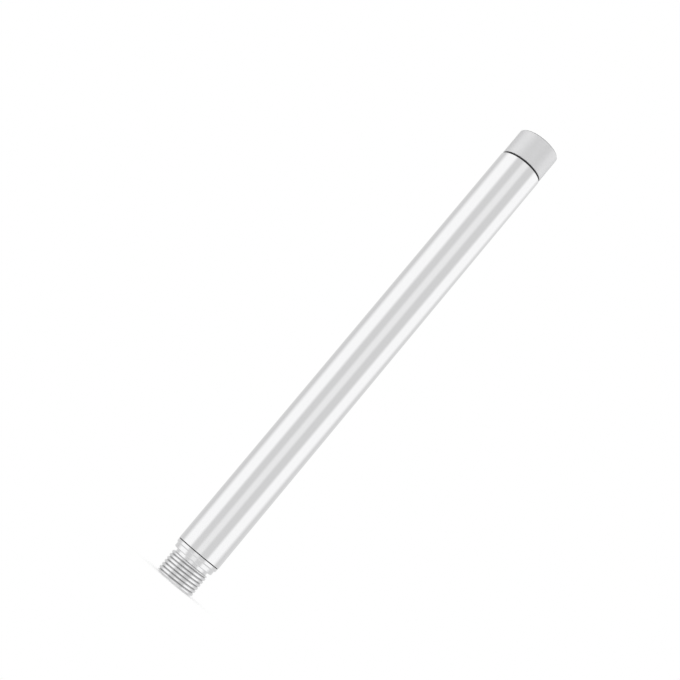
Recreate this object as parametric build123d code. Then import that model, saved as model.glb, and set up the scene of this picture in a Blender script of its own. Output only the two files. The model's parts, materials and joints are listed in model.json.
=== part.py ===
from build123d import *
import math
import os

# A straight shower arm extension, in millimetres, standing on its threaded end.
# The origin is the centre of that end's face, and +Z is the axis towards the socket.

# Tube: polished, open at both ends
tube_diameter = 24.0
tube_wall = 1.0
tube_length = 250.0
tube_edge_chamfer = 0.25

# Half-inch parallel pipe thread, each thread kept as a plain wall at its crests
thread_diameter = 20.955
thread_height = 1.162
thread_run_out = 0.12  # room past the thread's roots, on the radius

# Threaded nipple, from its free end up to the tube
nipple_thread_length = 12.3
nipple_lead_in = 0.95
thread_end_chamfer = 0.5
relief_width = 1.5
step_length = 2.3
step_setback = 0.65  # from the flange's rim in to the step
step_chamfer = 0.4
flange_length = 2.2
flange_setback = 0.15  # from the tube's outside in to the flange's rim
flange_chamfer = 0.5
flange_top_chamfer = 0.2

# Spigots, which hold both end fittings in the tube
spigot_length = 10.0
spigot_clearance = 0.05
spigot_lead_in = 0.6
waterway_diameter = 14.5
waterway_chamfer = 0.5

# O-ring on the nipple's spigot, squeezed between its gland and the tube
o_ring_section = 1.5
o_ring_squeeze = 0.25
gland_setback = 3.5  # from the flange up to the gland
gland_side_clearance = 0.2
o_ring_bevel = 0.35  # its free sides, between its gland and the tube

# Gasket between the tube and the collar
gasket_thickness = 0.9
gasket_recess = 0.5  # from the tube's outside in to the gasket's rim

# Socket collar
collar_length = 15.0
collar_setback = 0.25  # from the tube's outside in to the collar
collar_bottom_chamfer = 0.2
collar_rim_chamfer = 0.45
seat_thickness = 2.6
socket_relief_length = 2.4

# Washer on the socket's seat
washer_thickness = 2.0
washer_hole_diameter = 11.5
washer_clearance = 0.07  # inside the thread's crests, on the radius

# Radii that follow from those sizes
tube_radius = tube_diameter / 2
bore_radius = tube_radius - tube_wall
spigot_radius = bore_radius - spigot_clearance
waterway_radius = waterway_diameter / 2
thread_radius = thread_diameter / 2
root_radius = thread_radius - thread_height
relief_radius = root_radius - thread_run_out
flange_radius = tube_radius - flange_setback
step_radius = flange_radius - step_setback
squeezed_height = o_ring_section - o_ring_squeeze
gland_radius = bore_radius - squeezed_height
gasket_radius = tube_radius - gasket_recess
socket_relief_radius = thread_radius + thread_run_out
# The collar stays just inside the tube's outline, unless its socket needs more metal around it
collar_radius = max(tube_radius - collar_setback, socket_relief_radius + tube_wall)
washer_radius = root_radius - washer_clearance
washer_hole_radius = washer_hole_diameter / 2

# Squeezed, the O-ring's section keeps its area: a rectangle without its four bevelled corners
round_area = math.pi * o_ring_section**2 / 4
squeezed_width = (round_area + 2 * o_ring_bevel**2) / squeezed_height

# Heights that follow, from the threaded end up
relief_bottom = nipple_thread_length
step_bottom = relief_bottom + relief_width
flange_bottom = step_bottom + step_length
tube_bottom = flange_bottom + flange_length
gland_bottom = tube_bottom + gland_setback
gland_top = gland_bottom + squeezed_width + 2 * gland_side_clearance
nipple_top = tube_bottom + spigot_length
tube_top = tube_bottom + tube_length
collar_bottom = tube_top + gasket_thickness
collar_spigot_bottom = tube_top - spigot_length
collar_top = collar_bottom + collar_length
seat_height = collar_bottom + seat_thickness
socket_relief_top = seat_height + socket_relief_length

same_place = 1e-6


def turned(*outline):
    """A piece turned about Z, from its half outline in (radius, height) points."""
    half_section = make_face(Polyline(*outline, close=True))
    return revolve(Plane.XZ * half_section, Axis.Z)


def ring(inner_radius, outer_radius, bottom, top):
    """A plain ring about Z."""
    return turned(
        (inner_radius, bottom),
        (outer_radius, bottom),
        (outer_radius, top),
        (inner_radius, top),
    )


def rim(piece, radius, height):
    """The round edge of a turned piece at one radius and height."""

    def is_there(edge):
        radius_off = abs(edge.radius - radius)
        height_off = abs(edge.arc_center.Z - height)
        return max(radius_off, height_off) < same_place

    return piece.edges().filter_by(GeomType.CIRCLE).filter_by(is_there)


def make_tube():
    """The tube, with the outer edges of both ends eased."""
    piece = ring(bore_radius, tube_radius, tube_bottom, tube_top)
    ends = rim(piece, tube_radius, tube_bottom) + rim(piece, tube_radius, tube_top)
    return chamfer(ends, tube_edge_chamfer)


def make_threaded_nipple():
    """Thread, relief, step and flange outside the tube, and a spigot with its gland inside it."""
    piece = turned(
        (waterway_radius, 0),
        (thread_radius, 0),
        (thread_radius, relief_bottom),
        (relief_radius, relief_bottom),
        (relief_radius, step_bottom),
        (step_radius, step_bottom),
        (step_radius, flange_bottom),
        (flange_radius, flange_bottom),
        (flange_radius, tube_bottom),
        (spigot_radius, tube_bottom),
        (spigot_radius, gland_bottom),
        (gland_radius, gland_bottom),
        (gland_radius, gland_top),
        (spigot_radius, gland_top),
        (spigot_radius, nipple_top),
        (waterway_radius, nipple_top),
    )
    piece = chamfer(rim(piece, thread_radius, 0), nipple_lead_in)
    piece = chamfer(rim(piece, thread_radius, relief_bottom), thread_end_chamfer)
    piece = chamfer(rim(piece, step_radius, step_bottom), step_chamfer)
    piece = chamfer(rim(piece, flange_radius, flange_bottom), flange_chamfer)
    piece = chamfer(rim(piece, flange_radius, tube_bottom), flange_top_chamfer)
    piece = chamfer(rim(piece, spigot_radius, nipple_top), spigot_lead_in)
    mouths = rim(piece, waterway_radius, 0) + rim(piece, waterway_radius, nipple_top)
    return chamfer(mouths, waterway_chamfer)


def make_nipple_o_ring():
    """The squeezed O-ring: flat against its gland and the tube, bevelled at its free sides."""
    bottom = gland_bottom + gland_side_clearance
    piece = ring(gland_radius, bore_radius, bottom, bottom + squeezed_width)
    return chamfer(piece.edges().filter_by(GeomType.CIRCLE), o_ring_bevel)


def make_collar_gasket():
    """The flat ring between the tube's end and the collar, set in from both outsides."""
    return ring(bore_radius, gasket_radius, tube_top, collar_bottom)


def make_socket_collar():
    """Socket, relief and washer seat in the collar, and a spigot below it inside the tube."""
    piece = turned(
        (waterway_radius, collar_spigot_bottom),
        (spigot_radius, collar_spigot_bottom),
        (spigot_radius, collar_bottom),
        (collar_radius, collar_bottom),
        (collar_radius, collar_top),
        (root_radius, collar_top),
        (root_radius, socket_relief_top),
        (socket_relief_radius, socket_relief_top),
        (socket_relief_radius, seat_height),
        (waterway_radius, seat_height),
    )
    socket_lead_in = socket_relief_radius - root_radius
    piece = chamfer(rim(piece, root_radius, collar_top), socket_lead_in)
    piece = chamfer(rim(piece, collar_radius, collar_top), collar_rim_chamfer)
    piece = chamfer(rim(piece, collar_radius, collar_bottom), collar_bottom_chamfer)
    piece = chamfer(rim(piece, spigot_radius, collar_spigot_bottom), spigot_lead_in)
    return chamfer(rim(piece, waterway_radius, collar_spigot_bottom), waterway_chamfer)


def make_socket_washer():
    """The flat washer on the seat, which just passes the thread above it."""
    washer_top = seat_height + washer_thickness
    return ring(washer_hole_radius, washer_radius, seat_height, washer_top)


pieces = {
    "tube": make_tube(),
    "threaded_nipple": make_threaded_nipple(),
    "nipple_o_ring": make_nipple_o_ring(),
    "collar_gasket": make_collar_gasket(),
    "socket_collar": make_socket_collar(),
    "socket_washer": make_socket_washer(),
}

os.makedirs("parts", exist_ok=True)
for name, piece in pieces.items():
    export_step(piece, f"parts/{name}.step")
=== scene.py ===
"""Finished surfaces of a straight shower arm extension, and the studio that it stands in.

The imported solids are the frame: metres, +Z along the axis from the threaded end up to the socket.
Each turned piece takes its outline from its solid, then gets eased edges and its thread's turns.
"""

import json
import math

import bpy
import numpy as np
from bpy.props import FloatProperty, FloatVectorProperty, IntProperty, PointerProperty
from mathutils import Matrix, Vector


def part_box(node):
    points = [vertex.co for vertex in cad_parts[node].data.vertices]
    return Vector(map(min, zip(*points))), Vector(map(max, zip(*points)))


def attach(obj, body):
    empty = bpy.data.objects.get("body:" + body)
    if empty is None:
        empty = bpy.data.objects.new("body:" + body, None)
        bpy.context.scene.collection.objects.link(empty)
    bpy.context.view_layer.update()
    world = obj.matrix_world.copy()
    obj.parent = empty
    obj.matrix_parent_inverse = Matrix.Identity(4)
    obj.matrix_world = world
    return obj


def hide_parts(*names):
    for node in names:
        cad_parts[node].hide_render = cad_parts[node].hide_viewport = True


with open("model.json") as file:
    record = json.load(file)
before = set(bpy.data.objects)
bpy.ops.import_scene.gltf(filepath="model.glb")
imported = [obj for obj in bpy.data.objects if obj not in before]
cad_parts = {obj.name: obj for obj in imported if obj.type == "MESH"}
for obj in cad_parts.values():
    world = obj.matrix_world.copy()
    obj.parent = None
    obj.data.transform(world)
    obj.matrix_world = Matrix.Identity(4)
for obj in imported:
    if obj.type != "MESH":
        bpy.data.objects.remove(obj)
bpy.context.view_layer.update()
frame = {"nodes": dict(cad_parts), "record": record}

bl_info = {
    "name": "Shower arm extension",
    "version": (1, 0, 0),
    "blender": (4, 5, 0),
    "location": "3D View > Sidebar > Extension",
    "description": "Builds the finished surfaces of a straight shower arm extension and its studio",
    "category": "Add Mesh",
}

MM = 0.001
BODY = "root"

MOUNTS = {mount["name"]: mount for mount in frame["record"]["mounts"]}
SLOT_COLOURS = {slot["slot"]: slot["base_color"][:3] for slot in frame["record"]["materials"]}
OUTER_THREAD_RADIUS = MOUNTS["head_thread"]["dims"]["r_mm"] * MM
INNER_THREAD_RADIUS = MOUNTS["arm_socket"]["dims"]["r_mm"] * MM

# Outlines read from the solids
CORNER_DECIMALS = 7  # of a metre, within which circles of a solid are one corner
SAME_RADIUS = 1e-6  # of a metre, within which two radii are one

# Eased edges
EASING_STEPS = 5  # points on one eased edge
EASING_SHARE = 0.3  # of the shorter side, the most that an edge takes
GUARD_REACH = 1.5  # times the easing, where a flat face starts

# Painted shade, the colour brought down where shade falls: thread roots, faces inside a joint, and the
# collar's rim
PAINTED_SHADE_ATTRIBUTE = "painted_shade"  # the attribute that holds it, from 0 to 1
ROOT_START = 0.93  # of a groove's depth, where its root and the painted shade in it start
ROOT_PAINTED_SHADE = 0.9  # at the bottom of a root
JOINT_EDGE = 0.27 * MM  # how far below the tube the painted shade on the nipple's side of the joint starts
RIM_EDGE = 0.5 * MM  # how far the painted shade on the collar's rim reaches down and in

# Finishes: patterns to the metre, shares of a colour or a roughness, and heights of bumps
MOTTLE_NOISE = {"Detail": 3.0, "Roughness": 0.55}
RING_NOISE = {"Detail": 4.0, "Roughness": 0.7}
PATTERN_LOW, PATTERN_HIGH = 0.25, 0.75  # of that noise, the range that is laid over a roughness
CHROME_CLOUDS = 450.0
CHROME_WAVES = 130.0
CHROME_SHADES = (0.985, 1.0)
CHROME_POLISH = (0.8, 1.2)
CHROME_WAVE_HEIGHT = 0.008 * MM
CHROME_PAINTED_SHADE_LEVEL = 0.05  # of its colour, where shade is painted on it
THREAD_RINGS = 9000.0
THREAD_SHADES = (0.98, 1.0)
THREAD_POLISH = (1.0, 1.6)
THREAD_RING_HEIGHT = 0.0004 * MM
STEEL_RINGS = 5200.0
STEEL_CLOUDS = 160.0
STEEL_SHADES = (0.94, 1.04)
STEEL_VARIATION = 0.05  # of its roughness, up and down
STEEL_RING_HEIGHT = 0.004 * MM
STEEL_PAINTED_SHADE_LEVEL = 0.55  # of its colour, where shade is painted on it
RUBBER_GRAINS = 5500.0
RUBBER_SHADES = (0.75, 1.2)
RUBBER_VARIATION = 0.08  # of its roughness, up and down
RUBBER_GRAIN_HEIGHT = 0.01 * MM
RUBBER_GLOSS = 0.25

# Light around the part by its bearing, in degrees: 0 is the camera's side, and right is positive
TENT_LEVELS = (
    (-180, 0.88),
    (-120, 0.86),
    (-89, 1.34),
    (-58, 1.34),
    (-40.5, 0.9),
    (-24, 0.9),
    (-9, 1.16),
    (4, 1.16),
    (19, 0.9),
    (40, 0.9),
    (57, 1.34),
    (86, 1.34),
    (117, 0.9),
    (180, 0.88),
)
TENT_LEAN = math.radians(17)  # turn of its panels to the right, for each metre up
TENT_FLARE = 0.18  # how much wider its panels get, for each metre up
TENT_TURN_END = 1.6  # metres up and down, past which its panels lean and widen no more
TENT_BRIGHTEST = 1.5  # the level that the ramp's white stands for
TENT_COLUMNS = 96  # divisions round it
FLOOR_DROP = 0.02 * MM  # keeps the floor just clear of the face that stands on it
FADE_START, FADE_END = 0.05, 0.9  # of the floor's radius, between which it fades
WHITE = (1.0, 1.0, 1.0, 1.0)


class ThreadSizes(bpy.types.PropertyGroup):
    """The half-inch parallel pipe thread, cut on the nipple and in the socket."""

    pitch: FloatProperty(
        name="Pitch",
        description="Distance along the axis from one crest to the next",
        default=1.814 * MM,
        min=0.5 * MM,
        unit="LENGTH",
        precision=6,
    )
    flank_angle: FloatProperty(
        name="Flank angle",
        description="Angle between the two flanks of a groove",
        default=math.radians(55),
        subtype="ANGLE",
    )
    outer_radius: FloatProperty(
        name="Outer radius",
        description="Radius of the nipple's crests and the socket's roots",
        default=OUTER_THREAD_RADIUS,
        unit="LENGTH",
        precision=6,
    )
    inner_radius: FloatProperty(
        name="Inner radius",
        description="Radius of the nipple's roots and the socket's crests",
        default=INNER_THREAD_RADIUS,
        unit="LENGTH",
        precision=6,
    )
    cut_back: FloatProperty(
        name="Cut back",
        description="How much shallower than full the grooves are cut, which leaves flat crests",
        default=0.55 * MM,
        unit="LENGTH",
        precision=6,
    )
    nipple_start: FloatProperty(
        name="Nipple start",
        description="Bearing at which the nipple's crest leaves its end face",
        default=math.radians(83.5),
        subtype="ANGLE",
    )
    socket_start: FloatProperty(
        name="Socket start",
        description="Bearing at which the socket's groove passes the frame's origin",
        default=0.0,
        subtype="ANGLE",
    )
    row_spacing: FloatProperty(
        name="Row spacing",
        description="Distance along the axis between two rows of the thread's surface",
        default=0.05 * MM,
        min=0.02 * MM,
        unit="LENGTH",
        precision=6,
    )


class TurningSizes(bpy.types.PropertyGroup):
    """How the turned pieces are divided and how far their edges are eased."""

    columns: IntProperty(
        name="Columns",
        description="Divisions of a turned surface round its axis",
        default=192,
        min=24,
    )
    metal_easing: FloatProperty(
        name="Metal edges",
        description="How far an edge of a metal piece is eased on both its sides",
        default=0.06 * MM,
        unit="LENGTH",
        precision=6,
    )
    rubber_easing: FloatProperty(
        name="Rubber edges",
        description="How far an edge of a rubber piece is eased on both its sides",
        default=0.15 * MM,
        unit="LENGTH",
        precision=6,
    )


class FinishValues(bpy.types.PropertyGroup):
    """Colours and polish of the three finishes."""

    chrome_colour: FloatVectorProperty(
        name="Chrome",
        description="Colour of the polished plating",
        default=SLOT_COLOURS["polished_chrome"],
        subtype="COLOR",
        min=0.0,
        max=1.0,
    )
    steel_colour: FloatVectorProperty(
        name="Satin steel",
        description="Colour of the satin collar",
        default=SLOT_COLOURS["satin_steel"],
        subtype="COLOR",
        min=0.0,
        max=1.0,
    )
    rubber_colour: FloatVectorProperty(
        name="Rubber",
        description="Colour of the seals",
        default=SLOT_COLOURS["black_rubber"],
        subtype="COLOR",
        min=0.0,
        max=1.0,
    )
    chrome_roughness: FloatProperty(
        name="Chrome roughness",
        description="Roughness of the polished plating",
        default=0.08,
        min=0.0,
        max=1.0,
        subtype="FACTOR",
    )
    steel_roughness: FloatProperty(
        name="Steel roughness",
        description="Roughness of the satin collar",
        default=0.52,
        min=0.0,
        max=1.0,
        subtype="FACTOR",
    )
    rubber_roughness: FloatProperty(
        name="Rubber roughness",
        description="Roughness of the seals",
        default=0.62,
        min=0.0,
        max=1.0,
        subtype="FACTOR",
    )


class StudioSizes(bpy.types.PropertyGroup):
    """Camera, floor and light tent."""

    camera_place: FloatVectorProperty(
        name="Camera place",
        description="Where the camera stands",
        default=(0.0, -640.0 * MM, 33.4 * MM),
        subtype="XYZ",
        unit="LENGTH",
    )
    camera_aim: FloatVectorProperty(
        name="Camera aim",
        description="The point at the middle of the picture",
        default=(-13.84 * MM, 0.0, 141.13 * MM),
        subtype="XYZ",
        unit="LENGTH",
    )
    camera_roll: FloatProperty(
        name="Camera roll",
        description="How far the camera's right side is turned up: the part leans to the right",
        default=math.radians(40.03),
        subtype="ANGLE",
    )
    lens: FloatProperty(
        name="Lens",
        description="Focal length, in millimetres",
        default=69.81,
        min=1.0,
        unit="CAMERA",
    )
    floor_colour: FloatVectorProperty(
        name="Floor",
        description="Colour of the pale floor",
        default=(0.99, 0.99, 0.99),
        subtype="COLOR",
        min=0.0,
        max=1.0,
    )
    floor_radius: FloatProperty(
        name="Floor radius",
        description="Where the floor has faded into the white background",
        default=30.0 * MM,
        unit="LENGTH",
    )
    tent_radius: FloatProperty(
        name="Tent radius",
        description="Distance of the soft light from the part's axis",
        default=1.5,
        unit="LENGTH",
    )
    tent_reach: FloatProperty(
        name="Tent reach",
        description="How far the soft light goes up and down from the part's foot",
        default=5.0,
        unit="LENGTH",
    )


# Shapes


def cad_outline(node):
    """Half outline of a turned solid: its corners as (radius, height), in order.

    Vertices that share a radius and a height lie on one circle of the solid, which is one corner,
    and a triangle's edge from one circle to another is a side between two corners. The order starts
    at the innermost corner and runs out along the foot, up the outside, and down the inside.
    """
    mesh = frame["nodes"][node].data
    points = np.empty(len(mesh.vertices) * 3, np.float32)
    mesh.vertices.foreach_get("co", points)
    points = points.reshape(-1, 3).astype(float)
    circles = np.column_stack([np.hypot(points[:, 0], points[:, 1]), points[:, 2]])
    corners, corner_of = np.unique(np.round(circles, CORNER_DECIMALS), axis=0, return_inverse=True)
    triangles = np.empty(len(mesh.loops), np.int32)
    mesh.loops.foreach_get("vertex_index", triangles)
    triangles = corner_of.ravel()[triangles].reshape(-1, 3)
    sides = np.stack([triangles, np.roll(triangles, 1, axis=1)], axis=-1).reshape(-1, 2)
    sides = np.unique(np.sort(sides[sides[:, 0] != sides[:, 1]], axis=1), axis=0)
    if not np.array_equal(np.bincount(sides.ravel()), np.full(len(corners), 2)):
        raise RuntimeError(f"{node} is not one closed outline turned about Z")
    order = [0]
    while len(order) < len(corners):
        beside = sides[(sides == order[-1]).any(axis=1)].ravel()
        order.append(next(corner for corner in beside if corner not in order))
    outline = corners[order]
    onward = np.roll(outline, -1, axis=0)
    area = np.sum(outline[:, 0] * onward[:, 1] - onward[:, 0] * outline[:, 1])
    return outline if area > 0 else np.roll(outline[::-1], 1, axis=0)


def eased_corners(outline, easing):
    """The points that stand for each corner of an outline, as an array (corners, points, 2).

    An eased edge is the parabola (1-s)^2 A + 2 s (1-s) C + s^2 B from A, on the side before the
    corner C, to B, on the side after it. One more point beyond A and B keeps the flat faces flat.
    """
    corner = outline[:, None, :]
    before = np.roll(outline, 1, axis=0)[:, None, :] - corner
    after = np.roll(outline, -1, axis=0)[:, None, :] - corner
    before_length = np.linalg.norm(before, axis=-1, keepdims=True)
    after_length = np.linalg.norm(after, axis=-1, keepdims=True)
    reach = np.minimum(easing, EASING_SHARE * np.minimum(before_length, after_length))
    before_step = reach * before / before_length
    after_step = reach * after / after_length
    s = np.linspace(0.0, 1.0, EASING_STEPS)[None, :, None]
    edge = corner + (1 - s) ** 2 * before_step + s**2 * after_step
    guard_before = corner + GUARD_REACH * before_step
    guard_after = corner + GUARD_REACH * after_step
    return np.concatenate([guard_before, edge, guard_after], axis=1)


def column_angles(columns):
    """Bearings of the columns of a turned surface, in even steps round the axis."""
    return np.arange(columns) * (2 * np.pi / columns)


def thread_radius(angle, height, start, thread):
    """Radius of a right-handed thread at a bearing and a height.

    The crest climbs one pitch in a turn. Half a pitch beside it is the root, and between them runs
    a straight flank. Crest and root are arcs that touch both flanks and the outer or inner radius.
    """
    half_angle = thread.flank_angle / 2
    depth = thread.outer_radius - thread.inner_radius
    sharp_depth = thread.pitch / 2 / math.tan(half_angle)
    rounding = (sharp_depth - depth) / 2 / (1 / math.sin(half_angle) - 1)
    turns = height / thread.pitch - (angle - start) / (2 * np.pi)
    from_crest = thread.pitch * np.abs((turns + 0.5) % 1.0 - 0.5)
    from_root = thread.pitch / 2 - from_crest
    crest = thread.outer_radius - rounding + np.sqrt(np.maximum(rounding**2 - from_crest**2, 0.0))
    root = thread.inner_radius + rounding - np.sqrt(np.maximum(rounding**2 - from_root**2, 0.0))
    middle_radius = (thread.outer_radius + thread.inner_radius) / 2
    flank = middle_radius - (from_crest - thread.pitch / 4) / math.tan(half_angle)
    touch = rounding * math.cos(half_angle)
    return np.select([from_crest < touch, from_root < touch], [crest, root], flank)


def plain_rows(outline, easing, columns):
    """Radius and height of every row of a turned piece without a thread."""
    rows = eased_corners(outline, easing).reshape(-1, 2)
    return np.repeat(rows[:, :1], columns, axis=1), rows[:, 1]


def threaded_rows(outline, easing, columns, thread, start, outside):
    """Radius and height of every row of a turned piece with a thread, and the depth of its grooves.

    The solid's wall at the crests, with the cone or chamfer at its ends, is the thread's envelope.
    There the rows are even steps along the axis, and the radius is the smaller of envelope and
    thread on a nipple, and the larger in a socket. The thread is cut back, so that its crests are
    flat. Other corners are eased. Depth is 1 at a root's bottom.
    """
    crest_radius = thread.outer_radius if outside else thread.inner_radius
    first = np.flatnonzero(np.abs(outline[:, 0] - crest_radius) < SAME_RADIUS)[0] - 1
    climbs = np.diff(outline[first:, 1])
    last = first + np.argmax(climbs * climbs[0] <= 0)
    stretch = outline[first : last + 1]
    count = round(abs(stretch[-1, 1] - stretch[0, 1]) / thread.row_spacing) + 1
    height = np.linspace(stretch[0, 1], stretch[-1, 1], count)
    upward = np.argsort(stretch[:, 1])
    envelope = np.interp(height, stretch[upward, 1], stretch[upward, 0])[:, None]
    cut = thread_radius(column_angles(columns)[None, :], height[:, None], start, thread)
    if outside:
        radius = np.minimum(envelope, cut + thread.cut_back)
    else:
        radius = np.maximum(envelope, cut - thread.cut_back)
    full_depth = thread.outer_radius - thread.inner_radius - thread.cut_back
    depth = np.abs(radius - envelope) / full_depth
    guard = GUARD_REACH * easing
    guard_radius = radius[0].min() - guard if outside else radius[0].max() + guard
    eased = eased_corners(outline, easing)
    rest = np.concatenate([eased[last + 1 :], eased[:first]]).reshape(-1, 2)
    rest_radius = np.repeat(rest[:, :1], columns, axis=1)
    all_radius = np.vstack([np.full((1, columns), guard_radius), radius, rest_radius])
    all_height = np.concatenate([height[:1], height, rest[:, 1]])
    all_depth = np.vstack([np.zeros((1, columns)), depth, np.zeros_like(rest_radius)])
    return all_radius, all_height, all_depth


def root_painted_shade(depth):
    """Painted shade in a thread by the depth in its grooves: none above the root, then rising evenly.
    """
    return ROOT_PAINTED_SHADE * np.clip((depth - ROOT_START) / (1 - ROOT_START), 0.0, 1.0)


def ring_piece(name, radius, height, painted_shade):
    """A closed piece from rows turned about Z, at (radius cos a, radius sin a, height).

    The grid wraps round both ways: the last column joins the first, and the last row the first, so
    the surface has no seam and no pole. The painted shade on it stays as an attribute.
    """
    rows, columns = radius.shape
    angle = column_angles(columns)[None, :]
    heights = np.repeat(height[:, None], columns, axis=1)
    points = np.stack([radius * np.cos(angle), radius * np.sin(angle), heights], axis=-1)
    index = np.arange(rows * columns, dtype=np.int32).reshape(rows, columns)
    above = np.roll(index, -1, axis=0)
    corners = [index, np.roll(index, -1, axis=1), np.roll(above, -1, axis=1), above]
    quads = np.stack(corners, axis=-1)
    mesh = bpy.data.meshes.new(name)
    mesh.vertices.add(index.size)
    mesh.vertices.foreach_set("co", points.astype(np.float32).ravel())
    mesh.loops.add(quads.size)
    mesh.loops.foreach_set("vertex_index", quads.ravel())
    mesh.polygons.add(index.size)
    mesh.polygons.foreach_set("loop_start", np.arange(0, quads.size, 4, dtype=np.int32))
    mesh.polygons.foreach_set("use_smooth", np.ones(index.size, bool))
    mesh.update(calc_edges=True)
    if mesh.validate():
        raise RuntimeError(f"{name} has faces that Blender had to repair")
    attribute = mesh.attributes.new(PAINTED_SHADE_ATTRIBUTE, "FLOAT", "POINT")
    attribute.data.foreach_set("value", painted_shade.astype(np.float32).ravel())
    piece = bpy.data.objects.new(name, mesh)
    bpy.context.scene.collection.objects.link(piece)
    return piece


def seat_piece(piece, node, material):
    """Gives a piece its finish and puts it in the place of its solid."""
    piece.data.materials.append(material)
    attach(piece, BODY)
    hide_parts(node)


# Finishes


def add_node(tree, kind, values=None, **settings):
    """A node of a tree, with its settings and the values of its own inputs."""
    node = tree.nodes.new(kind)
    for name, value in settings.items():
        setattr(node, name, value)
    for name, value in (values or {}).items():
        node.inputs[name].default_value = value
    return node


def shader_group(name, inputs, output):
    """A shader node group with named inputs and one named output, and the nodes at its two ends."""
    tree = bpy.data.node_groups.new(name, "ShaderNodeTree")
    for socket, kind in inputs.items():
        tree.interface.new_socket(socket, in_out="INPUT", socket_type=f"NodeSocket{kind}")
    socket, kind = output
    tree.interface.new_socket(socket, in_out="OUTPUT", socket_type=f"NodeSocket{kind}")
    return tree, add_node(tree, "NodeGroupInput"), add_node(tree, "NodeGroupOutput")


def mottle_group():
    """Cloudy unevenness, as of plating, blasting or moulding: noise in space, from 0 to 1."""
    name = "Surface mottle"
    if name in bpy.data.node_groups:
        return bpy.data.node_groups[name]
    inputs = {"Place": "Vector", "Patches per metre": "Float"}
    tree, start, end = shader_group(name, inputs, ("Mottle", "Float"))
    noise = add_node(tree, "ShaderNodeTexNoise", MOTTLE_NOISE)
    tree.links.new(start.outputs["Place"], noise.inputs["Vector"])
    tree.links.new(start.outputs["Patches per metre"], noise.inputs["Scale"])
    tree.links.new(noise.outputs["Fac"], end.inputs["Mottle"])
    return tree


def turning_group():
    """Fine rings left by turning: noise over radius and height, so that a ring runs round the axis."""
    name = "Turning rings"
    if name in bpy.data.node_groups:
        return bpy.data.node_groups[name]
    inputs = {"Place": "Vector", "Rings per metre": "Float"}
    tree, start, end = shader_group(name, inputs, ("Rings", "Float"))
    split = add_node(tree, "ShaderNodeSeparateXYZ")
    across = add_node(tree, "ShaderNodeCombineXYZ")
    radius = add_node(tree, "ShaderNodeVectorMath", operation="LENGTH")
    section = add_node(tree, "ShaderNodeCombineXYZ")
    noise = add_node(tree, "ShaderNodeTexNoise", RING_NOISE, noise_dimensions="2D")
    tree.links.new(start.outputs["Place"], split.inputs["Vector"])
    tree.links.new(split.outputs["X"], across.inputs["X"])
    tree.links.new(split.outputs["Y"], across.inputs["Y"])
    tree.links.new(across.outputs["Vector"], radius.inputs[0])
    tree.links.new(radius.outputs["Value"], section.inputs["X"])
    tree.links.new(split.outputs["Z"], section.inputs["Y"])
    tree.links.new(section.outputs["Vector"], noise.inputs["Vector"])
    tree.links.new(start.outputs["Rings per metre"], noise.inputs["Scale"])
    tree.links.new(noise.outputs["Fac"], end.inputs["Rings"])
    return tree


def painted_shade_group():
    """Painted shade: a colour brought down where shade falls, to colour times level, by the shade's
    share.
    """
    name = "Dull recesses"
    if name in bpy.data.node_groups:
        return bpy.data.node_groups[name]
    inputs = {"Colour": "Color", "Painted shade share": "Float", "Level": "Float"}
    tree, start, end = shader_group(name, inputs, ("Colour", "Color"))
    mix = add_node(tree, "ShaderNodeMix", data_type="RGBA", blend_type="MULTIPLY")
    factor = next(socket for socket in mix.inputs if socket.identifier == "Factor_Float")
    bright = next(socket for socket in mix.inputs if socket.identifier == "A_Color")
    level = next(socket for socket in mix.inputs if socket.identifier == "B_Color")
    result = next(socket for socket in mix.outputs if socket.identifier == "Result_Color")
    tree.links.new(start.outputs["Painted shade share"], factor)
    tree.links.new(start.outputs["Colour"], bright)
    tree.links.new(start.outputs["Level"], level)
    tree.links.new(result, end.inputs["Colour"])
    return tree


def new_finish(name, metallic):
    """An empty material with its shader, and the place that its patterns read."""
    material = bpy.data.materials.new(name)
    material.use_nodes = True
    tree = material.node_tree
    tree.nodes.clear()
    output = add_node(tree, "ShaderNodeOutputMaterial")
    shader = add_node(tree, "ShaderNodeBsdfPrincipled", {"Metallic": metallic})
    tree.links.new(shader.outputs["BSDF"], output.inputs["Surface"])
    place = add_node(tree, "ShaderNodeTexCoord").outputs["Object"]
    return material, tree, shader, place


def pattern(tree, group, place, per_metre):
    """One of the shared patterns in a material, at its own scale."""
    node = add_node(tree, "ShaderNodeGroup", node_tree=group)
    tree.links.new(place, node.inputs["Place"])
    node.inputs[1].default_value = per_metre
    return node.outputs[0]


def with_painted_shade(tree, colour, level):
    """A colour with painted shade, going down to a level of itself where the piece's attribute says
    shade falls.
    """
    painted_shade = add_node(tree, "ShaderNodeAttribute", attribute_name=PAINTED_SHADE_ATTRIBUTE)
    node = add_node(tree, "ShaderNodeGroup", node_tree=painted_shade_group())
    node.inputs["Level"].default_value = level
    tree.links.new(colour, node.inputs["Colour"])
    tree.links.new(painted_shade.outputs["Fac"], node.inputs["Painted shade share"])
    return node.outputs["Colour"]


def spread(tree, value, low, high):
    """A pattern's middle range, laid over the range from low to high."""
    values = {"From Min": PATTERN_LOW, "From Max": PATTERN_HIGH, "To Min": low, "To Max": high}
    node = add_node(tree, "ShaderNodeMapRange", values)
    tree.links.new(value, node.inputs["Value"])
    return node.outputs["Result"]


def tint(tree, value, colour, shades):
    """A colour between its dark and its light shade, by a value from 0 to 1."""
    node = add_node(tree, "ShaderNodeValToRGB")
    for stop, level in zip(node.color_ramp.elements, shades):
        stop.color = (*[level * part for part in colour], 1.0)
    tree.links.new(value, node.inputs["Fac"])
    return node.outputs["Color"]


def raise_surface(tree, shader, value, height):
    """Bumps the surface by a pattern, up to a height."""
    bump = add_node(tree, "ShaderNodeBump", {"Strength": 1.0, "Distance": height})
    tree.links.new(value, bump.inputs["Height"])
    tree.links.new(bump.outputs["Normal"], shader.inputs["Normal"])


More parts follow.
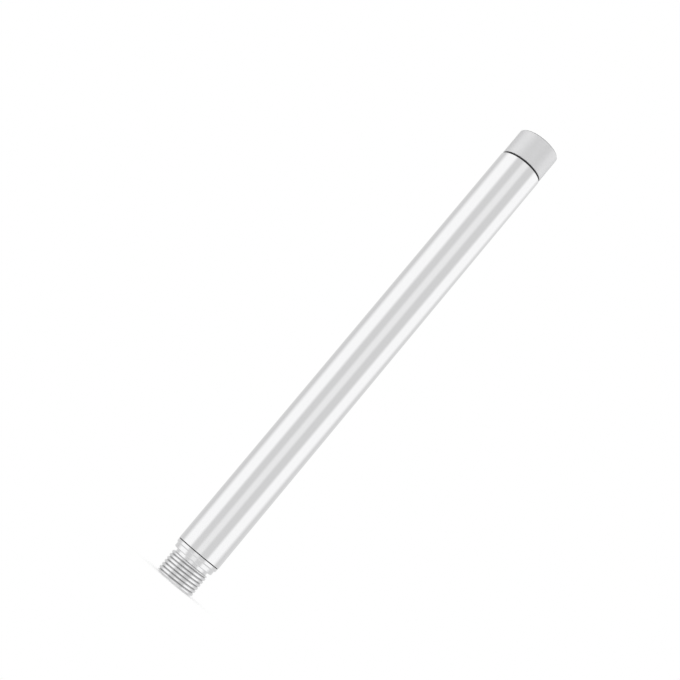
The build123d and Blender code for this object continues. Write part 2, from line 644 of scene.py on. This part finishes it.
def polished_chrome(finish):
    """Polished plating: nearly a mirror, a little cloudy, and a little wavy over a few millimetres."""
    material, tree, shader, place = new_finish("polished_chrome", 1.0)
    cloud = pattern(tree, mottle_group(), place, CHROME_CLOUDS)
    wave = pattern(tree, mottle_group(), place, CHROME_WAVES)
    colour = tint(tree, cloud, finish.chrome_colour, CHROME_SHADES)
    low, high = [share * finish.chrome_roughness for share in CHROME_POLISH]
    # Painted shade: the colour goes down to a level of itself on the tube's bore and end faces
    tree.links.new(with_painted_shade(tree, colour, CHROME_PAINTED_SHADE_LEVEL), shader.inputs["Base Color"])
    tree.links.new(spread(tree, cloud, low, high), shader.inputs["Roughness"])
    raise_surface(tree, shader, wave, CHROME_WAVE_HEIGHT)
    return material


def plated_thread(finish):
    """The same plating on a turned fitting: faint rings, and painted shade at the grooves' roots and
    at the joint.
    """
    material, tree, shader, place = new_finish("plated_thread", 1.0)
    rings = pattern(tree, turning_group(), place, THREAD_RINGS)
    colour = tint(tree, rings, finish.chrome_colour, THREAD_SHADES)
    low, high = [share * finish.chrome_roughness for share in THREAD_POLISH]
    tree.links.new(with_painted_shade(tree, colour, CHROME_PAINTED_SHADE_LEVEL), shader.inputs["Base Color"])
    tree.links.new(spread(tree, rings, low, high), shader.inputs["Roughness"])
    raise_surface(tree, shader, rings, THREAD_RING_HEIGHT)
    return material


def satin_steel(finish):
    """Fine-turned steel: close rings round the axis, over a soft cloudiness."""
    material, tree, shader, place = new_finish("satin_steel", 1.0)
    rings = pattern(tree, turning_group(), place, STEEL_RINGS)
    cloud = pattern(tree, mottle_group(), place, STEEL_CLOUDS)
    colour = tint(tree, rings, finish.steel_colour, STEEL_SHADES)
    low = finish.steel_roughness - STEEL_VARIATION
    high = finish.steel_roughness + STEEL_VARIATION
    # Painted shade: the colour goes down in the thread roots and on the rim
    tree.links.new(with_painted_shade(tree, colour, STEEL_PAINTED_SHADE_LEVEL), shader.inputs["Base Color"])
    tree.links.new(spread(tree, cloud, low, high), shader.inputs["Roughness"])
    raise_surface(tree, shader, rings, STEEL_RING_HEIGHT)
    return material


def black_rubber(finish):
    """Moulded rubber: matte, with a fine grain."""
    material, tree, shader, place = new_finish("black_rubber", 0.0)
    shader.inputs["Specular IOR Level"].default_value = RUBBER_GLOSS
    grain = pattern(tree, mottle_group(), place, RUBBER_GRAINS)
    colour = tint(tree, grain, finish.rubber_colour, RUBBER_SHADES)
    low = finish.rubber_roughness - RUBBER_VARIATION
    high = finish.rubber_roughness + RUBBER_VARIATION
    tree.links.new(colour, shader.inputs["Base Color"])
    tree.links.new(spread(tree, grain, low, high), shader.inputs["Roughness"])
    raise_surface(tree, shader, grain, RUBBER_GRAIN_HEIGHT)
    return material


# Pieces


class EXTENSION_OT_make_tube(bpy.types.Operator):
    """Make the polished tube"""

    bl_idname = "extension.make_tube"
    bl_label = "Tube"

    def execute(self, context):
        turning = context.scene.extension_turning
        radius, height = plain_rows(cad_outline("tube"), turning.metal_easing, turning.columns)
        # Painted shade: the bore and the end faces inside the joints get the darkened colour
        inside = radius < radius.max() - turning.metal_easing
        piece = ring_piece("polished_tube", radius, height, inside)
        finish = polished_chrome(context.scene.extension_finish)
        seat_piece(piece, "tube", finish)
        return {"FINISHED"}


class EXTENSION_OT_make_nipple(bpy.types.Operator):
    """Make the plated nipple with its male thread"""

    bl_idname = "extension.make_nipple"
    bl_label = "Threaded nipple"

    def execute(self, context):
        turning = context.scene.extension_turning
        thread = context.scene.extension_thread
        radius, height, depth = threaded_rows(
            cad_outline("threaded_nipple"),
            turning.metal_easing,
            turning.columns,
            thread,
            thread.nipple_start,
            outside=True,
        )
        joint_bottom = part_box("tube")[0][2] - JOINT_EDGE
        # Painted shade: the thread roots by their depth, and the nipple above the joint's edge, where
        # shade falls between the parts
        painted_shade = np.maximum(root_painted_shade(depth), height[:, None] > joint_bottom)
        piece = ring_piece("plated_nipple", radius, height, painted_shade)
        finish = plated_thread(context.scene.extension_finish)
        seat_piece(piece, "threaded_nipple", finish)
        return {"FINISHED"}


class EXTENSION_OT_make_collar(bpy.types.Operator):
    """Make the satin collar with its female thread"""

    bl_idname = "extension.make_collar"
    bl_label = "Socket collar"

    def execute(self, context):
        turning = context.scene.extension_turning
        thread = context.scene.extension_thread
        radius, height, depth = threaded_rows(
            cad_outline("socket_collar"),
            turning.metal_easing,
            turning.columns,
            thread,
            thread.socket_start,
            outside=False,
        )
        # Painted shade on the rim's top and outer edge, and in the thread roots
        rim = (radius > radius.max() - RIM_EDGE) & (height[:, None] > height.max() - RIM_EDGE)
        painted_shade = np.maximum(root_painted_shade(depth), rim)
        piece = ring_piece("satin_collar", radius, height, painted_shade)
        finish = satin_steel(context.scene.extension_finish)
        seat_piece(piece, "socket_collar", finish)
        return {"FINISHED"}


class EXTENSION_OT_make_seals(bpy.types.Operator):
    """Make the three rubber seals"""

    bl_idname = "extension.make_seals"
    bl_label = "Seals"

    def execute(self, context):
        turning = context.scene.extension_turning
        rubber = black_rubber(context.scene.extension_finish)
        seals = {
            "tube_gasket": "collar_gasket",
            "seat_washer": "socket_washer",
            "spigot_o_ring": "nipple_o_ring",
        }
        for name, node in seals.items():
            radius, height = plain_rows(cad_outline(node), turning.rubber_easing, turning.columns)
            piece = ring_piece(name, radius, height, np.zeros_like(radius))
            seat_piece(piece, node, rubber)
        return {"FINISHED"}


# Studio


def stage_piece(name, points, material):
    """A stage object from a grid of points (rows, columns, 3), with a face between each four."""
    rows, columns = points.shape[:2]
    index = np.arange(rows * columns).reshape(rows, columns)
    corners = [index[:-1, :-1], index[:-1, 1:], index[1:, 1:], index[1:, :-1]]
    quads = np.stack(corners, axis=-1).reshape(-1, 4)
    mesh = bpy.data.meshes.new(name)
    mesh.from_pydata(points.reshape(-1, 3).tolist(), [], quads.tolist())
    mesh.materials.append(material)
    stage = bpy.data.objects.new(name, mesh)
    bpy.context.scene.collection.objects.link(stage)
    return stage


def stage_material(name):
    """An empty material for the stage, with its output and the place that it reads."""
    material = bpy.data.materials.new(name)
    material.use_nodes = True
    tree = material.node_tree
    tree.nodes.clear()
    output = add_node(tree, "ShaderNodeOutputMaterial")
    place = add_node(tree, "ShaderNodeTexCoord").outputs["Object"]
    return material, tree, output, place


def tent_light():
    """Soft light by bearing: broad white panels on both sides, grey ones between them.

    The level is read from a ramp at (bearing - lean times height) / (1 + flare times height).
    """
    material, tree, output, place = stage_material("tent_light")
    split = add_node(tree, "ShaderNodeSeparateXYZ")
    towards = add_node(tree, "ShaderNodeMath", operation="MULTIPLY")
    towards.inputs[1].default_value = -1.0
    bearing = add_node(tree, "ShaderNodeMath", operation="ARCTAN2")
    climb = add_node(tree, "ShaderNodeClamp", {"Min": -TENT_TURN_END, "Max": TENT_TURN_END})
    upright = add_node(tree, "ShaderNodeMath", operation="MULTIPLY_ADD")
    upright.inputs[1].default_value = -TENT_LEAN
    flare = add_node(tree, "ShaderNodeMath", operation="MULTIPLY_ADD")
    flare.inputs[1].default_value = TENT_FLARE
    flare.inputs[2].default_value = 1.0
    narrow = add_node(tree, "ShaderNodeMath", operation="DIVIDE")
    turn = add_node(tree, "ShaderNodeMapRange", {"From Min": -math.pi, "From Max": math.pi})
    ramp = add_node(tree, "ShaderNodeValToRGB")
    light = add_node(tree, "ShaderNodeEmission", {"Strength": TENT_BRIGHTEST})
    stops = ramp.color_ramp.elements
    ramp.color_ramp.interpolation = "EASE"
    while len(stops) < len(TENT_LEVELS):
        stops.new(0.5)  # each gets its own place below
    for stop, (degrees, level) in zip(stops, TENT_LEVELS):
        stop.position = degrees / 360 + 0.5  # half a turn either way fills the ramp
        stop.color = (*[level / TENT_BRIGHTEST] * 3, 1.0)
    tree.links.new(place, split.inputs["Vector"])
    tree.links.new(split.outputs["Y"], towards.inputs[0])
    tree.links.new(split.outputs["X"], bearing.inputs[0])
    tree.links.new(towards.outputs["Value"], bearing.inputs[1])
    tree.links.new(split.outputs["Z"], climb.inputs["Value"])
    tree.links.new(climb.outputs["Result"], upright.inputs[0])
    tree.links.new(bearing.outputs["Value"], upright.inputs[2])
    tree.links.new(climb.outputs["Result"], flare.inputs[0])
    tree.links.new(upright.outputs["Value"], narrow.inputs[0])
    tree.links.new(flare.outputs["Value"], narrow.inputs[1])
    tree.links.new(narrow.outputs["Value"], turn.inputs["Value"])
    tree.links.new(turn.outputs["Result"], ramp.inputs["Fac"])
    tree.links.new(ramp.outputs["Color"], light.inputs["Color"])
    tree.links.new(light.outputs["Emission"], output.inputs["Surface"])
    return material


def pale_floor(studio):
    """A plain pale floor that keeps the shadow and fades into the white background around it.

    Where it has faded, the camera sees the background's white, and other light goes through.
    """
    material, tree, output, place = stage_material("pale_floor")
    colour = (*studio.floor_colour, 1.0)
    paint = add_node(tree, "ShaderNodeBsdfDiffuse", {"Color": colour})
    white = add_node(tree, "ShaderNodeEmission", {"Color": WHITE, "Strength": 1.0})
    nothing = add_node(tree, "ShaderNodeBsdfTransparent")
    path = add_node(tree, "ShaderNodeLightPath")
    beyond = add_node(tree, "ShaderNodeMixShader")
    distance = add_node(tree, "ShaderNodeVectorMath", operation="LENGTH")
    fade = add_node(
        tree,
        "ShaderNodeMapRange",
        {"From Min": FADE_START * studio.floor_radius, "From Max": FADE_END * studio.floor_radius},
        interpolation_type="SMOOTHSTEP",
    )
    mix = add_node(tree, "ShaderNodeMixShader")
    tree.links.new(place, distance.inputs[0])
    tree.links.new(distance.outputs["Value"], fade.inputs["Value"])
    tree.links.new(path.outputs["Is Camera Ray"], beyond.inputs[0])
    tree.links.new(nothing.outputs["BSDF"], beyond.inputs[1])
    tree.links.new(white.outputs["Emission"], beyond.inputs[2])
    tree.links.new(fade.outputs["Result"], mix.inputs[0])
    tree.links.new(paint.outputs["BSDF"], mix.inputs[1])
    tree.links.new(beyond.outputs["Shader"], mix.inputs[2])
    tree.links.new(mix.outputs["Shader"], output.inputs["Surface"])
    return material


def camera_matrix(studio):
    """The camera's place and turn: it looks at its aim, then rolls about its line of sight."""
    place = Vector(studio.camera_place)
    ahead = (Vector(studio.camera_aim) - place).normalized()
    level = ahead.cross(Vector((0.0, 0.0, 1.0))).normalized()
    upright = level.cross(ahead)
    right = math.cos(studio.camera_roll) * level + math.sin(studio.camera_roll) * upright
    up = right.cross(ahead)
    turn = Matrix((right, up, -ahead)).transposed()
    return Matrix.Translation(place) @ turn.to_4x4()


class EXTENSION_OT_make_studio(bpy.types.Operator):
    """Make the camera, the floor, the white background and the soft light"""

    bl_idname = "extension.make_studio"
    bl_label = "Studio"

    def execute(self, context):
        scene = context.scene
        studio = scene.extension_studio
        scene.view_settings.view_transform = "Standard"

        lens = bpy.data.cameras.new("photo_camera")
        lens.lens = studio.lens
        camera = bpy.data.objects.new("photo_camera", lens)
        camera.matrix_world = camera_matrix(studio)
        scene.collection.objects.link(camera)
        scene.camera = camera

        world = bpy.data.worlds.new("white_background")
        world.use_nodes = True
        background = world.node_tree.nodes["Background"]
        background.inputs["Color"].default_value = WHITE
        background.inputs["Strength"].default_value = 1.0
        scene.world = world

        side = studio.floor_radius * np.array([-1.0, 1.0])
        floor_x, floor_y = np.meshgrid(side, side)
        floor_points = np.stack([floor_x, floor_y, np.full((2, 2), -FLOOR_DROP)], axis=-1)
        floor = stage_piece("floor", floor_points, pale_floor(studio))
        floor.visible_glossy = False  # the metal shows the soft light below it, as in the air

        angle = np.linspace(0.0, 2 * np.pi, TENT_COLUMNS + 1)
        bearing, height = np.meshgrid(angle, studio.tent_reach * np.array([1.0, -1.0]))
        tent_x, tent_y = studio.tent_radius * np.cos(bearing), studio.tent_radius * np.sin(bearing)
        tent_points = np.stack([tent_x, tent_y, height], axis=-1)
        tent = stage_piece("light_tent", tent_points, tent_light())
        tent.visible_camera = False
        return {"FINISHED"}


class VIEW3D_PT_extension(bpy.types.Panel):
    """Sizes, finishes and steps of the shower arm extension"""

    bl_label = "Shower arm extension"
    bl_space_type = "VIEW_3D"
    bl_region_type = "UI"
    bl_category = "Extension"

    def draw(self, context):
        for name, group in SETTINGS.items():
            box = self.layout.box()
            for size in group.__annotations__:
                box.prop(getattr(context.scene, name), size)
        for operator in OPERATORS:
            self.layout.operator(operator.bl_idname)


SETTINGS = {
    "extension_thread": ThreadSizes,
    "extension_turning": TurningSizes,
    "extension_finish": FinishValues,
    "extension_studio": StudioSizes,
}
OPERATORS = (
    EXTENSION_OT_make_studio,
    EXTENSION_OT_make_tube,
    EXTENSION_OT_make_nipple,
    EXTENSION_OT_make_collar,
    EXTENSION_OT_make_seals,
)
CLASSES = (*SETTINGS.values(), *OPERATORS, VIEW3D_PT_extension)


def register():
    """Adds the classes, and the settings to the scene."""
    for each in CLASSES:
        bpy.utils.register_class(each)
    for name, group in SETTINGS.items():
        setattr(bpy.types.Scene, name, PointerProperty(type=group))


def unregister():
    """Takes away what register added."""
    for name in SETTINGS:
        delattr(bpy.types.Scene, name)
    for each in reversed(CLASSES):
        bpy.utils.unregister_class(each)


def main():
    """Builds the studio and the pieces."""
    register()
    bpy.ops.extension.make_studio()
    bpy.ops.extension.make_tube()
    bpy.ops.extension.make_nipple()
    bpy.ops.extension.make_collar()
    bpy.ops.extension.make_seals()


if __name__ == "__main__":
    main()
